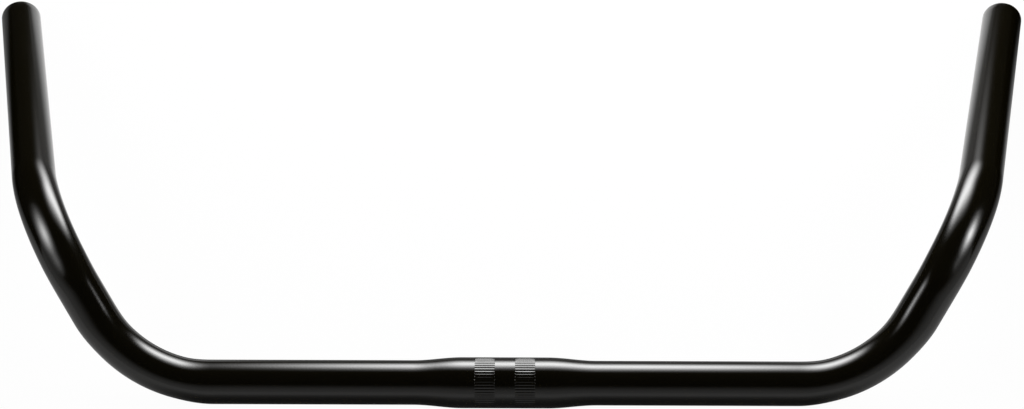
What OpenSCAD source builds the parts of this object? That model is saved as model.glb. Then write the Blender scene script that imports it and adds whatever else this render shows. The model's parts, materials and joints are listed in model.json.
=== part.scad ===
// Swept-back handlebar: one cold-formed round tube with a swaged, knurled clamp section.
// X runs along the clamp axis, +Y points to the rider, +Z is up. The origin is the middle of
// the clamp section on its axis. The bar stands as it lies on a table, on the underside of
// the clamp section and on the rims of its two open ends.

/* [Tube] */
// Outer diameter of the bare tube, which is also the diameter under each grip
tube_d = 22.2; // [20:0.1:24]
// Wall thickness, the same along the whole bar
wall = 1.6; // [1.2:0.1:2.5]
// Radius that rounds the outer edge of each open end
end_round = 0.5; // [0.2:0.1:1]

/* [Bends] */
// Straight length from the middle of the bar to the start of each rise bend
centre_half = 146; // [110:1:200]
// Radius of the rise bend, measured to the middle of the tube
rise_bend_r = 68; // [55:1:90]
// Angle through which the rise bend turns the tube upwards
rise_bend_angle = 60.5; // [45:0.5:70]
// Straight length between the two bends of one side
rise_straight = 15; // [4:1:60]
// Turn of the tube about its own line between the two bends, so that the second points back
bend_turn = 90; // [80:1:100]
// Radius of the sweep bend, measured to the middle of the tube
sweep_bend_r = 68; // [55:1:90]
// Angle through which the sweep bend turns the tube backwards
sweep_bend_angle = 62; // [50:0.5:75]
// Straight length that carries the grip
grip_length = 190; // [140:1:220]

/* [Clamp section] */
// Outer diameter of the swaged clamp section
clamp_d = 25.4; // [25:0.1:31.8]
// Length at the full clamp diameter
clamp_length = 42; // [38:1:70]
// Length of the taper from the clamp diameter down to the tube, at each side
swage_length = 25; // [15:1:40]

/* [Knurling] */
// Length of each knurled band
knurl_length = 10; // [6:1:12]
// Plain length between the two knurled bands
knurl_gap = 10; // [4:1:14]
// Number of ridges round the bar
knurl_ridges = 52; // [36:1:60]
// Depth of the grooves between the ridges
knurl_depth = 0.2; // [0.1:0.05:0.4]
// Width of the land left on top of each ridge
knurl_land = 0.4; // [0.3:0.05:0.6]

/* [Hidden] */
$fn = 96;
tube_r = tube_d / 2;
clamp_r = clamp_d / 2;
// Steps of the smooth curve along each swaged taper
swage_steps = 12;
// Each straight runs on over the start of its bend by this much
seam = 0.2;
// Cold bending draws the tube in by this much at its outside, and as much at its bore
bend_draw = 0.02;
paint = [0.06, 0.06, 0.065];

// Direction of the tube on the right-hand side, as [out, rise, back] seen from the clamp
rise_dir = [cos(rise_bend_angle), sin(rise_bend_angle), 0];
// The side to which the sweep bend turns, square to the rise
sweep_side = [-sin(rise_bend_angle) * cos(bend_turn), cos(rise_bend_angle) * cos(bend_turn), sin(bend_turn)];
grip_dir = rise_dir * cos(sweep_bend_angle) + sweep_side * sin(sweep_bend_angle);
rise_start = [centre_half, 0, 0];
rise_end = rise_start + rise_bend_r * [sin(rise_bend_angle), 1 - cos(rise_bend_angle), 0];
sweep_start = rise_end + rise_straight * rise_dir;
sweep_end = sweep_start
    + sweep_bend_r * (sin(sweep_bend_angle) * rise_dir + (1 - cos(sweep_bend_angle)) * sweep_side);
grip_end = sweep_end + grip_length * grip_dir;
// Lean of the bar at which the end rims are as low as the underside of the clamp section.
// A rim's lowest point depends on the lean itself, so the lean is found in a few passes.
function down(v, lean) = v[2] * sin(lean) - v[1] * cos(lean);
function rim_drop(slope) = (tube_r - end_round) * sqrt(1 - slope * slope) + end_round * (1 - slope);
function settle(lean, passes) = passes == 0 ? lean
    : settle(chord_angle + asin((clamp_r - rim_drop(down(grip_dir, lean))) / chord), passes - 1);
chord = norm([grip_end[1], grip_end[2]]);
chord_angle = atan2(grip_end[1], grip_end[2]);
lean = settle(chord_angle, 6);

// Ring section of the tube, drawn in at its outside and its bore
module tube_section(draw = 0) {
    difference() {
        circle(r = tube_r - draw);
        circle(r = tube_r - wall + draw);
    }
}

// Straight tube up the Z axis; what follows is placed at its far end
module straight(length) {
    translate([0, 0, -seam])
        linear_extrude(length + 2 * seam)
            tube_section();
    translate([0, 0, length])
        children();
}

// Tube that starts up the Z axis and bends towards +X; what follows is placed at its far end
module bend(radius, angle) {
    translate([radius, 0, 0])
        rotate([90, 0, 180])
            rotate_extrude(angle = angle)
                translate([radius, 0])
                    tube_section(bend_draw);
    translate([radius, 0, 0])
        rotate([0, angle, 0])
            translate([-radius, 0, 0])
                children();
}

// Last straight, with the outer edge of its open end rounded
module grip_end_straight(length) {
    edge = [for (a = [0 : 22.5 : 90]) [
        tube_r - end_round + end_round * cos(a),
        length - end_round + end_round * sin(a)
    ]];
    rotate_extrude()
        polygon(concat(
            [[tube_r - wall, -seam], [tube_r, -seam]],
            edge,
            [[tube_r - wall, length]]
        ));
}

// One side of the bar, from the end of the centre straight to the open end
module side() {
    rotate([0, 90, 0])
        translate([0, 0, centre_half])
            bend(rise_bend_r, rise_bend_angle)
                straight(rise_straight)
                    rotate([0, 0, -bend_turn])
                        bend(sweep_bend_r, sweep_bend_angle)
                            grip_end_straight(grip_length);
}

// Outer radius at a distance x from the middle of the bar, within the swaged taper
function swage_r(x) = tube_r + (clamp_r - tube_r) * (1 + cos(180 * (x - clamp_length / 2) / swage_length)) / 2;

// Centre straight with the swaged clamp section; the bore follows the outside at one wall
module centre() {
    taper = [for (i = [0 : swage_steps])
        let (x = clamp_length / 2 + swage_length * i / swage_steps)
        [swage_r(x), x]];
    right = concat(taper, [[tube_r, centre_half + seam]]);
    left = [for (i = [len(right) - 1 : -1 : 0]) [right[i][0], -right[i][1]]];
    outside = concat(left, right);
    bore = [for (i = [len(outside) - 1 : -1 : 0]) outside[i] - [wall, 0]];
    rotate([0, 90, 0])
        rotate_extrude()
            polygon(concat(outside, bore));
}

// What the knurling rolls away from one band: V grooves round the bar
module knurl_grooves() {
    pitch = 360 / knurl_ridges;
    land = 2 * asin(knurl_land / clamp_d);
    root_r = clamp_r - knurl_depth;
    // The flanks run on past the surface, along the line from the root to the land's edge
    module groove() {
        polygon([
            [root_r, 0],
            2 * clamp_r * [cos((pitch - land) / 2), sin((pitch - land) / 2)] - [root_r, 0],
            2 * clamp_r * [cos((pitch - land) / 2), -sin((pitch - land) / 2)] - [root_r, 0]
        ]);
    }
    rotate([0, 90, 0])
        linear_extrude(knurl_length)
            for (i = [0 : knurl_ridges - 1])
                rotate(i * pitch)
                    groove();
}

// The whole bar, one formed tube
module handlebar() {
    color(paint)
        rotate([180 - lean, 0, 0])
            difference() {
                union() {
                    centre();
                    side();
                    mirror([1, 0, 0])
                        side();
                }
                for (x = [-knurl_gap / 2 - knurl_length, knurl_gap / 2])
                    translate([x, 0, 0])
                        knurl_grooves();
            }
}

handlebar();
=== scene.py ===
"""Swept-back handlebar in gloss black: the formed tube as one smooth surface, and its studio.

The bar lies as in the CAD frame: X along the clamp axis, Y back to the rider, Z up, in metres.
"""
import json
import math

import bpy
import numpy as np
from mathutils import Matrix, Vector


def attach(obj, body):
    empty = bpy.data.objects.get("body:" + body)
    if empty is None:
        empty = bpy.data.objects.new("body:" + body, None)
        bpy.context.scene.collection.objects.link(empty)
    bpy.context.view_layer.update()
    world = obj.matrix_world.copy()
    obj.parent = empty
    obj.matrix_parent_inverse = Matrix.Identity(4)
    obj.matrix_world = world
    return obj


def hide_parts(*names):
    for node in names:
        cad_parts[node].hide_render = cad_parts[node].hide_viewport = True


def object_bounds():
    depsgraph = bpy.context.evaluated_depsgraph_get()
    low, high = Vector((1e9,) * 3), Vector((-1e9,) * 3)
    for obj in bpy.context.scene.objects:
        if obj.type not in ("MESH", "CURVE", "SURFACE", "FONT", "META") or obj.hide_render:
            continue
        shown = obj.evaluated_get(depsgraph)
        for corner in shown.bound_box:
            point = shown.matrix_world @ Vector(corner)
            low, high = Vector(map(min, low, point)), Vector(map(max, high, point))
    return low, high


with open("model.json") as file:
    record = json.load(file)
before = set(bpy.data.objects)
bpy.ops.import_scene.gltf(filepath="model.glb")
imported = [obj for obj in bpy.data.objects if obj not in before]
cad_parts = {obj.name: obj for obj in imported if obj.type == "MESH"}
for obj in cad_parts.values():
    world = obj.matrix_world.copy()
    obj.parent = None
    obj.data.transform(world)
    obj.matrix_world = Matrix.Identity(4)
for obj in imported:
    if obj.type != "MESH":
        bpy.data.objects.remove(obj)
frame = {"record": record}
cad_low, cad_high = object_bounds()
MOUNTS = {mount["name"]: mount for mount in frame["record"]["mounts"]}

# Tube, in metres
TUBE_R = MOUNTS["grip_right"]["dims"]["r_mm"] / 1000
CLAMP_R = MOUNTS["clamp"]["dims"]["r_mm"] / 1000
WALL = TUBE_R - MOUNTS["end_bore_right"]["dims"]["r_mm"] / 1000
END_ROUND = 0.0005

# Bends: lengths in metres, angles in radians
CENTRE_HALF = 0.146
RISE_BEND_R = 0.068
RISE_BEND_ANGLE = math.radians(60.5)
RISE_STRAIGHT = 0.015
SWEEP_BEND_R = 0.068
SWEEP_BEND_ANGLE = math.radians(62)
GRIP_LENGTH = MOUNTS["end_bore_right"]["dims"]["length_mm"] / 1000

# A bend flattens the tube in its own plane and widens it across, coming in over a short length
BEND_FLATTEN = 0.052
BEND_WIDEN = 0.02
BEND_EASE = 0.018
# The sweep bend is flattened mostly on its outer side: this share more there, and less inside
SWEEP_OUTER = 0.062

# Swaged clamp section
CLAMP_HALF = MOUNTS["clamp"]["dims"]["length_mm"] / 2000
SWAGE_LENGTH = 0.025

# Knurling: two bands of straight ridges, each between two distances from the middle
KNURL_GAP = 0.010
KNURL_LENGTH = 0.010
KNURL_FROM = KNURL_GAP / 2
KNURL_TO = KNURL_FROM + KNURL_LENGTH
KNURL_RIDGES = 52
KNURL_DEPTH = 0.0002
# Width of the land on top of each ridge, and the length over which its grooves run out
KNURL_LAND = 0.0004
KNURL_RUNOUT = 0.0002
# Share of the grooves' depth that the paint leaves open
KNURL_PAINTED = 0.74

# Places along one side, measured along the middle of the tube
RISE_FROM = CENTRE_HALF
RISE_TO = RISE_FROM + RISE_BEND_R * RISE_BEND_ANGLE
SWEEP_FROM = RISE_TO + RISE_STRAIGHT
SWEEP_TO = SWEEP_FROM + SWEEP_BEND_R * SWEEP_BEND_ANGLE
END = SWEEP_TO + GRIP_LENGTH

# Points round a plain ring, and round a knurled one, which has a whole number of times as many
AROUND = 3 * KNURL_RIDGES
KNURL_SHARE = 4
AROUND_KNURL = KNURL_SHARE * AROUND

# Rings along each stretch of the surface. The bore takes every third ring of the outside.
MIDDLE_RINGS = 5
BAND_RINGS = 6
SWAGE_RINGS = 25
CENTRE_RINGS = 12
BEND_RINGS = 60
GRIP_RINGS = 30
RIM_RINGS = 6
BORE_STEP = 3
BORE_MIDDLE = 0.02

# Edges sharper than this stay sharp in the shading
SHARP_EDGE = math.radians(28)

# A softbox's card reaches this many times its glow's size to each side of its middle
CARD_REACH = 2.2


def unit(vector):
    """The vector at length one."""
    return np.asarray(vector, float) / np.linalg.norm(vector)


def column(values):
    """An array as a column, to multiply rows of vectors by."""
    return np.asarray(values, float)[:, None]


def bar_directions():
    """Directions that the bends turn between, from the grip's axis and the two bend angles.

    out is the clamp axis, up is the way the rise bend turns, and back is square to both. Across the
    clamp axis the grip runs up and back in two shares: sine of the rise angle times cosine of the
    sweep angle, and sine of the sweep angle. So back slopes as the grip does, less the angle whose
    tangent is the first share over the second. rise is out, turned towards up by the rise angle.
    """
    out = np.array([1.0, 0.0, 0.0])
    grip = MOUNTS["grip_right"]["axis"]
    share_up = math.sin(RISE_BEND_ANGLE) * math.cos(SWEEP_BEND_ANGLE)
    share_back = math.sin(SWEEP_BEND_ANGLE)
    slope = math.atan2(grip[2], grip[1]) - math.atan2(share_up, share_back)
    back = np.array([0.0, math.cos(slope), math.sin(slope)])
    up = np.array([0.0, -back[2], back[1]])
    rise = math.cos(RISE_BEND_ANGLE) * out + math.sin(RISE_BEND_ANGLE) * up
    return out, up, rise, back


OUT, UP, RISE, BACK = bar_directions()


def along_bar(s):
    """Centre line of the right side: for each distance s from the middle of the bar, the point and
    two vectors square to the tube that the bends carry along without twist.

    Point = straight part times its direction, plus radius times (sin a along the old direction and
    1 - cos a towards the turn) for each bend, where a is how far s has turned in that bend.
    """
    s = np.abs(s)
    a = column(np.clip((s - RISE_FROM) / RISE_BEND_R, 0, RISE_BEND_ANGLE))
    b = column(np.clip((s - SWEEP_FROM) / SWEEP_BEND_R, 0, SWEEP_BEND_ANGLE))
    grip = math.cos(SWEEP_BEND_ANGLE) * RISE + math.sin(SWEEP_BEND_ANGLE) * BACK
    point = (column(np.minimum(s, RISE_FROM)) * OUT
             + RISE_BEND_R * (np.sin(a) * OUT + (1 - np.cos(a)) * UP)
             + column(np.clip(s - RISE_TO, 0, RISE_STRAIGHT)) * RISE
             + SWEEP_BEND_R * (np.sin(b) * RISE + (1 - np.cos(b)) * BACK)
             + column(np.maximum(s - SWEEP_TO, 0)) * grip)
    turned = np.cos(a) * OUT + np.sin(a) * UP
    side = np.cos(a) * UP - np.sin(a) * OUT
    back = np.cos(b) * BACK - np.sin(b) * turned
    return point, side, back


def ease(t):
    """Smooth step: 0 up to t = 0, then 3 t squared - 2 t cubed, and 1 from t = 1."""
    t = np.clip(t, 0, 1)
    return t * t * (3 - 2 * t)


def in_bend(s, start, stop):
    """How much of a bend's flattening a place has: 0 outside, easing to 1 within its two ends."""
    s = np.abs(s)
    return ease((s - start) / BEND_EASE) * ease((stop - s) / BEND_EASE)


def outside_radius(s):
    """Outer radius along the bar: the clamp's, then half a cosine wave down to the tube's."""
    t = np.clip((np.abs(s) - CLAMP_HALF) / SWAGE_LENGTH, 0, 1)
    return TUBE_R + (CLAMP_R - TUBE_R) * (1 + np.cos(np.pi * t)) / 2


def knurl_depth(s, turn):
    """Depth of the knurling under the clamp's surface: grooves between narrow lands, which run out
    over a short length at the ends of each band. Paint has filled their roots and rounded their
    edges, so that a groove is one whole cosine wave across."""
    s = column(np.abs(s))
    in_band = np.clip(np.minimum(s - KNURL_FROM, KNURL_TO - s) / KNURL_RUNOUT, 0, 1)
    land = KNURL_LAND * KNURL_RIDGES / (2 * np.pi * CLAMP_R)
    # distance from the middle of the nearest groove, 0 at the root and 1 half way to the next
    across = np.abs(2 * ((turn * KNURL_RIDGES / (2 * np.pi)) % 1) - 1)
    groove = np.clip(1 - across / (1 - land), 0, 1)
    return KNURL_DEPTH * KNURL_PAINTED * in_band * (1 - np.cos(np.pi * groove[None, :])) / 2


def rings(s, radius, count, knurled):
    """Rings of count points round the centre line at each s: radius times the circle in the carried
    vectors, flattened in the plane of a bend and widened across it. The sweep bend's flattening
    grows towards its outer side with the sine of the turn round the ring. Left of the middle the
    ring is the mirror of the one on the right, so that point i of each ring follows point i of the
    last."""
    turn = np.arange(count) * 2 * np.pi / count
    point, side, back = along_bar(s)
    r = column(radius) - (knurl_depth(s, turn) if knurled else 0)
    rise = column(in_bend(s, RISE_FROM, RISE_TO))
    sweep = column(in_bend(s, SWEEP_FROM, SWEEP_TO))
    sweep_flatten = BEND_FLATTEN - SWEEP_OUTER * np.sin(turn)
    along_side = r * np.cos(turn) * (1 - BEND_FLATTEN * rise + BEND_WIDEN * sweep)
    along_back = r * np.sin(turn) * (1 - sweep_flatten * sweep + BEND_WIDEN * rise)
    places = (point[:, None] + along_side[..., None] * side[:, None]
              + along_back[..., None] * back[:, None])
    places[s < 0, :, 0] *= -1
    return places


def stations():
    """Distances along the right side at which the surface gets a ring, close together where its
    shape turns and far apart where it is straight."""
    between_bends = RISE_TO + RISE_STRAIGHT / 2
    swage = CLAMP_HALF + SWAGE_LENGTH * np.linspace(0, 1, SWAGE_RINGS)
    centre = np.linspace(CLAMP_HALF + SWAGE_LENGTH, RISE_FROM - BEND_EASE, CENTRE_RINGS)
    rise = np.linspace(RISE_FROM - BEND_EASE, between_bends, BEND_RINGS)
    sweep = np.linspace(between_bends, SWEEP_TO + BEND_EASE, BEND_RINGS)
    grip = np.linspace(SWEEP_TO + BEND_EASE, END - END_ROUND, GRIP_RINGS)
    return np.concatenate([swage[:-1], centre[:-1], rise[:-1], sweep[:-1], grip])


def quads(first, second, count):
    """Faces between rings of count points that start at vertex numbers first and second."""
    i = np.arange(count)
    j = (i + 1) % count
    first, second = column(first).astype(int), column(second).astype(int)
    return np.stack([first + i, second + i, second + j, first + j], axis=-1).reshape(-1, 4)


def fans(plain, fine, count, fine_first):
    """Faces between a plain ring of count points and one of KNURL_SHARE times as many: each has one
    edge of the plain ring and KNURL_SHARE edges of the fine one."""
    i = np.arange(count)
    near = [plain + (i + 1) % count, plain + i]
    far = [fine + (i * KNURL_SHARE + k) % (count * KNURL_SHARE) for k in range(KNURL_SHARE + 1)]
    faces = np.stack(near + far, axis=-1)
    return faces if fine_first else faces[:, ::-1]


def bar_surface():
    """Vertices and faces of the whole tube as one closed skin: the outside from the left end to the
    right, the rounded rim, the bore back to the left end, and its rim.

    Each stretch has its places, its radius there, its points round a ring and whether it is
    knurled. The last ring of each is joined to the first of the next, and the last stretch to the
    first.
    """
    right = stations()
    rim = np.linspace(0, np.pi / 2, RIM_RINGS)[1:]
    outer_s = np.concatenate([[KNURL_TO], right, END - END_ROUND + END_ROUND * np.sin(rim)])
    outer_r = np.concatenate([[CLAMP_R], outside_radius(right),
                              TUBE_R - END_ROUND + END_ROUND * np.cos(rim)])
    middle_s = np.linspace(-KNURL_FROM, KNURL_FROM, MIDDLE_RINGS)
    middle_r = np.full(len(middle_s), CLAMP_R)
    band_s = np.concatenate([[KNURL_FROM],
                             np.linspace(KNURL_FROM + KNURL_RUNOUT, KNURL_TO - KNURL_RUNOUT,
                                         BAND_RINGS),
                             [KNURL_TO]])
    band_r = np.full(len(band_s), CLAMP_R)
    bore_s = np.concatenate([[END], right[::-BORE_STEP],
                             np.linspace(BORE_MIDDLE, -BORE_MIDDLE, MIDDLE_RINGS),
                             -right[::BORE_STEP], [-END]])
    bore_r = outside_radius(bore_s) - WALL
    stretches = [
        (-outer_s[::-1], outer_r[::-1], AROUND, False),
        (-band_s[::-1], band_r, AROUND_KNURL, True),
        (middle_s, middle_r, AROUND, False),
        (band_s, band_r, AROUND_KNURL, True),
        (outer_s, outer_r, AROUND, False),
        (bore_s, bore_r, AROUND, False),
    ]
    places, faces, ends, offset = [], [], [], 0
    for s, radius, count, knurled in stretches:
        places.append(rings(s, radius, count, knurled).reshape(-1, 3))
        heads = offset + count * np.arange(len(s))
        faces += quads(heads[:-1], heads[1:], count).tolist()
        ends.append((heads[0], heads[-1], count))
        offset += count * len(s)
    for (_, last, count), (first, _, next_count) in zip(ends, ends[1:] + ends[:1]):
        if count == next_count:
            faces += quads([last], [first], count).tolist()
        elif count < next_count:
            faces += fans(last, first, count, True).tolist()
        else:
            faces += fans(first, last, next_count, False).tolist()
    return np.concatenate(places), faces


def mesh_object(name, places, faces):
    """A smooth-shaded mesh of the given vertices and faces, with its sharp edges kept."""
    mesh = bpy.data.meshes.new(name)
    mesh.from_pydata(places.tolist(), [], faces)
    mesh.validate()
    mesh.shade_smooth()
    mesh.set_sharp_from_angle(angle=SHARP_EDGE)
    thing = bpy.data.objects.new(name, mesh)
    bpy.context.scene.collection.objects.link(thing)
    return thing


class Wire:
    """A shader socket that takes part in sums: + - * add Math nodes to its material."""

    def __init__(self, nodes, socket):
        self.nodes = nodes
        self.socket = socket

    def outlet(self, name):
        """Another output of the same node."""
        return Wire(self.nodes, self.socket.node.outputs[name])

    def __add__(self, other):
        return self.nodes.math("ADD", self, other)

    def __sub__(self, other):
        return self.nodes.math("SUBTRACT", self, other)

    def __rsub__(self, other):
        return self.nodes.math("SUBTRACT", other, self)

    def __mul__(self, other):
        return self.nodes.math("MULTIPLY", self, other)

    __radd__ = __add__
    __rmul__ = __mul__


class Nodes:
    """The nodes of one material or world."""

    def __init__(self, owner):
        owner.use_nodes = True
        self.tree = owner.node_tree
        self.tree.nodes.clear()

    def add(self, kind, settings=None, sockets=None, out=0):
        """A node of a kind, its settings first and then its sockets' values or links."""
        node = self.tree.nodes.new(kind)
        for key, value in (settings or {}).items():
            setattr(node, key, value)
        for key, value in (sockets or {}).items():
            if isinstance(value, Wire):
                self.tree.links.new(value.socket, node.inputs[key])
            else:
                node.inputs[key].default_value = value
        return Wire(self, node.outputs[out]) if node.outputs else None

    def math(self, operation, *values):
        """A Math node of an operation on one or two values or sockets."""
        return self.add("ShaderNodeMath", {"operation": operation}, dict(enumerate(values)))

    def place(self):
        """Where a point is, in the object's own coordinates."""
        return self.add("ShaderNodeTexCoord", out="Object")

    def ramp(self, value, low, high):
        """value from low to high, smoothly, as 0 to 1."""
        return self.add("ShaderNodeMapRange", {"interpolation_type": "SMOOTHSTEP"},
                        {"Value": value, "From Min": low, "From Max": high})


def gloss_paint():
    """Gloss black paint, slightly warm: a smooth film with faint orange peel about 1 mm across, and
    a gloss that varies a little over a few centimetres."""
    material = bpy.data.materials.new("gloss_black_paint")
    nodes = Nodes(material)
    place = nodes.place()
    peel = nodes.add("ShaderNodeTexNoise", None, {"Vector": place, "Scale": 900.0, "Detail": 2.0})
    haze = nodes.add("ShaderNodeTexNoise", None, {"Vector": place, "Scale": 28.0, "Detail": 4.0})
    bump = nodes.add("ShaderNodeBump", None,
                     {"Strength": 0.06, "Distance": 0.0002, "Height": peel})
    paint = nodes.add("ShaderNodeBsdfPrincipled", None, {
        "Base Color": (0.0032, 0.0025, 0.0007, 1),
        "Roughness": 0.105 + haze * 0.05,
        "IOR": 1.6,
        "Normal": bump,
    })
    nodes.add("ShaderNodeOutputMaterial", None, {"Surface": paint})
    return material


def painted_floor_reflection(nodes):
    """Painted reflection: how bright the floor looks in the gloss of the bar, from 0 to 1, by where
    it is.
    The floor glows this bright to glossy rays, whatever the lamps do.

    It is bright in front of the bar, fades to black under the grips and stays dim between them. In
    front it falls off to both sides, and a painted contact shadow darkens it close to the centre
    straight, which lies on it. Painted highlights make it white along the inner side of each grip
    and pale along the outer side, less so towards the open ends, and least on the right.
    towards the open ends, and least on the right.
    """
    parts = nodes.add("ShaderNodeSeparateXYZ", None, {0: nodes.place()})
    x, y = parts.outlet("X"), parts.outlet("Y")
    side = nodes.math("ABSOLUTE", x)
    # painted contact shadow: the floor's reflection is darkened where the centre straight lies on
    # it
    painted_contact_shadow = nodes.ramp(y, -0.085, -0.012) * (1 - nodes.ramp(side, 0.15, 0.22))
    # painted reflection of a lit floor in front of the bar, fading backwards and to the sides
    front = 0.54 * (1 - nodes.ramp(y, -0.02, 0.26)) * (1 - 0.5 * nodes.ramp(side, 0.45, 1.1))
    front = front * (1 - 0.9 * painted_contact_shadow) * (0.87 + 0.13 * nodes.ramp(side, 0.15, 0.3))
    middle = nodes.ramp(y, 0.0, 0.06) * (1 - nodes.ramp(side, 0.19, 0.27))
    dim = front + middle * (0.2 - front)
    # distance inward from a line through (0.2366, 0.1) that leans out by 16.3 degrees from Y, as
    # the grip's mirror line does on the floor
    across = 0.281 * (y - 0.1) - 0.960 * (side - 0.2366)
    # painted highlights: a white strip along the inner side of each grip and a pale one along the
    # outer side, which the bar mirrors as bright edges
    within = nodes.ramp(across, -0.015, 0.01)
    inner = within * (1 - nodes.ramp(across, 0.02, 0.13))
    outer = (1 - within) * nodes.ramp(across, -0.09, -0.015)
    fade = nodes.ramp(y, 0.18, 0.3) * (0.6 + 0.4 * nodes.ramp(x, -0.1, 0.1))
    outer = 0.45 * outer * (1 - fade)
    return dim + nodes.ramp(y, 0.04, 0.1) * (inner + outer) * (1 - dim)


def floor_material():
    """Pale floor, white to the camera with a trace of the bar's shadow. In the bar's gloss it shows
    a
    painted reflection: it glows as bright as the painted floor reflection map says, with its
    painted shade and highlights, whatever the lamps do."""
    white_share = 0.97
    material = bpy.data.materials.new("pale_floor")
    nodes = Nodes(material)
    seen = nodes.add("ShaderNodeLightPath", out="Is Camera Ray")
    mirrored = seen.outlet("Is Glossy Ray")
    # painted reflection: glossy rays see the floor glow by the painted map, with painted shade and
    # highlights
    shade = seen + mirrored * painted_floor_reflection(nodes)
    tint = nodes.add("ShaderNodeCombineColor", None, {0: shade, 1: shade, 2: shade})
    lit = nodes.add("ShaderNodeBsdfDiffuse", None, {"Color": (0.8, 0.8, 0.8, 1)})
    shine = nodes.add("ShaderNodeEmission", None, {"Color": tint, "Strength": 1.0})
    mix = nodes.add("ShaderNodeMixShader", None,
                    {0: seen * white_share + mirrored, 1: lit, 2: shine})
    nodes.add("ShaderNodeOutputMaterial", None, {"Surface": mix})
    return material


def make_floor():
    """A flat round floor at the height of the object's lowest point."""
    radius, steps = 4.0, 96
    turn = np.arange(steps) * 2 * np.pi / steps
    rim = np.stack([radius * np.cos(turn), radius * np.sin(turn), np.full(steps, cad_low[2])],
                   axis=-1)
    floor = mesh_object("floor", rim, [list(range(steps))])
    floor.data.materials.append(floor_material())


def glowing(card, nodes, glow, strength):
    """Makes a card shine at a strength where glow is 1, see-through where it is 0, and unseen by
    the camera."""
    clear = nodes.add("ShaderNodeBsdfTransparent")
    shine = nodes.add("ShaderNodeEmission", None, {"Color": (1, 1, 1, 1), "Strength": strength})
    light = nodes.add("ShaderNodeMixShader", None, {0: glow, 1: clear, 2: shine})
    nodes.add("ShaderNodeOutputMaterial", None, {"Surface": light})
    card.visible_camera = False


def softbox(name, centre, target, across, tall, strength):
    """A flat card facing a target, brightest in its middle: its glow is e to the minus (u / width)
    to a power minus (v / height) to a power, with u level and v up the card. across and tall each
    give such a size and its power: the higher the power, the sharper the edge."""
    centre = np.array(centre)
    facing = unit(np.array(target) - centre)
    level = unit(np.cross(facing, (0, 0, 1)))
    upward = np.cross(level, facing)
    corners = np.array([(-1, -1), (1, -1), (1, 1), (-1, 1)]) * CARD_REACH
    places = (centre + column(corners[:, 0] * across[0]) * level
              + column(corners[:, 1] * tall[0]) * upward)
    card = mesh_object(name, places, [[3, 2, 1, 0]])
    material = bpy.data.materials.new(name)
    nodes = Nodes(material)
    place = nodes.place()
    total = 0
    for axis, (size, power) in ((level, across), (upward, tall)):
        along = nodes.add("ShaderNodeVectorMath", {"operation": "DOT_PRODUCT"},
                          {0: place, 1: tuple(axis / size)}, out="Value")
        away = nodes.math("ABSOLUTE", along - float(centre @ axis / size))
        total = total + nodes.math("POWER", away, power)
    glowing(card, nodes, nodes.math("EXPONENT", 0 - total), strength)
    card.data.materials.append(material)


def front_wall(radius, full, none, strength):
    """A curved wall in front of the bar, bright at its foot: it fades between two heights."""
    turn = np.radians(np.linspace(-80, 80, 33))
    x, y = radius * np.sin(turn), -radius * np.cos(turn)
    rows = [np.stack([x, y, np.full(len(turn), z)], axis=-1) for z in (cad_low[2], none)]
    i = np.arange(len(turn) - 1)
    faces = np.stack([i, i + 1, i + 1 + len(turn), i + len(turn)], axis=-1).tolist()
    card = mesh_object("front_wall", np.concatenate(rows), faces)
    material = bpy.data.materials.new("front_wall")
    nodes = Nodes(material)
    parts = nodes.add("ShaderNodeSeparateXYZ", None, {0: nodes.place()})
    glowing(card, nodes, 1 - nodes.ramp(parts.outlet("Z"), full, none), strength)
    card.data.materials.append(material)


def make_world():
    """Dim even surroundings that look white to the camera."""
    world = bpy.data.worlds.new("studio")
    bpy.context.scene.world = world
    nodes = Nodes(world)
    seen = nodes.add("ShaderNodeLightPath", out="Is Camera Ray")
    dim = nodes.add("ShaderNodeBackground", None, {"Color": (1, 1, 1, 1), "Strength": 0.01})
    white = nodes.add("ShaderNodeBackground", None, {"Color": (1, 1, 1, 1), "Strength": 0.98})
    mix = nodes.add("ShaderNodeMixShader", None, {0: seen, 1: dim, 2: white})
    nodes.add("ShaderNodeOutputWorld", None, {"Surface": mix})


def make_camera():
    """The photograph's camera: above and in front of the bar, looking down at it. Lens and sensor
    are in millimetres."""
    place = (0.01498, -0.68018, 0.86907)
    heading, tilt, roll = math.radians(0.904), math.radians(90 - 47.317), math.radians(-0.516)
    lens = bpy.data.cameras.new("camera")
    lens.sensor_width = 36
    lens.lens = 77.41
    camera = bpy.data.objects.new("camera", lens)
    camera.matrix_world = (Matrix.Translation(place) @ Matrix.Rotation(heading, 4, "Z")
                           @ Matrix.Rotation(tilt, 4, "X") @ Matrix.Rotation(roll, 4, "Z"))
    bpy.context.scene.collection.objects.link(camera)
    bpy.context.scene.camera = camera


def make_bar():
    """The formed tube, painted all over."""
    places, faces = bar_surface()
    bar = mesh_object("bar", places, faces)
    bar.data.materials.append(gloss_paint())
    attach(bar, "root")
    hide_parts("handlebar")


make_camera()
make_bar()
make_floor()
make_world()
softbox("back_softbox", centre=(0.043, 0.546, 0.390), target=(0.054, 0.08, 0.008),
        across=(0.214, 3.5), tall=(0.204, 1.9), strength=12.8)
softbox("left_softbox", centre=(-0.543, -0.031, 0.443), target=(0, 0.08, 0.03),
        across=(0.118, 1.76), tall=(0.120, 1.76), strength=9.6)
softbox("right_softbox", centre=(0.516, -0.009, 0.368), target=(0, 0.08, 0.03),
        across=(0.080, 1.65), tall=(0.078, 1.65), strength=17.2)
front_wall(radius=1.6, full=0.05, none=1.35, strength=0.36)

bpy.context.scene.view_settings.view_transform = "Standard"
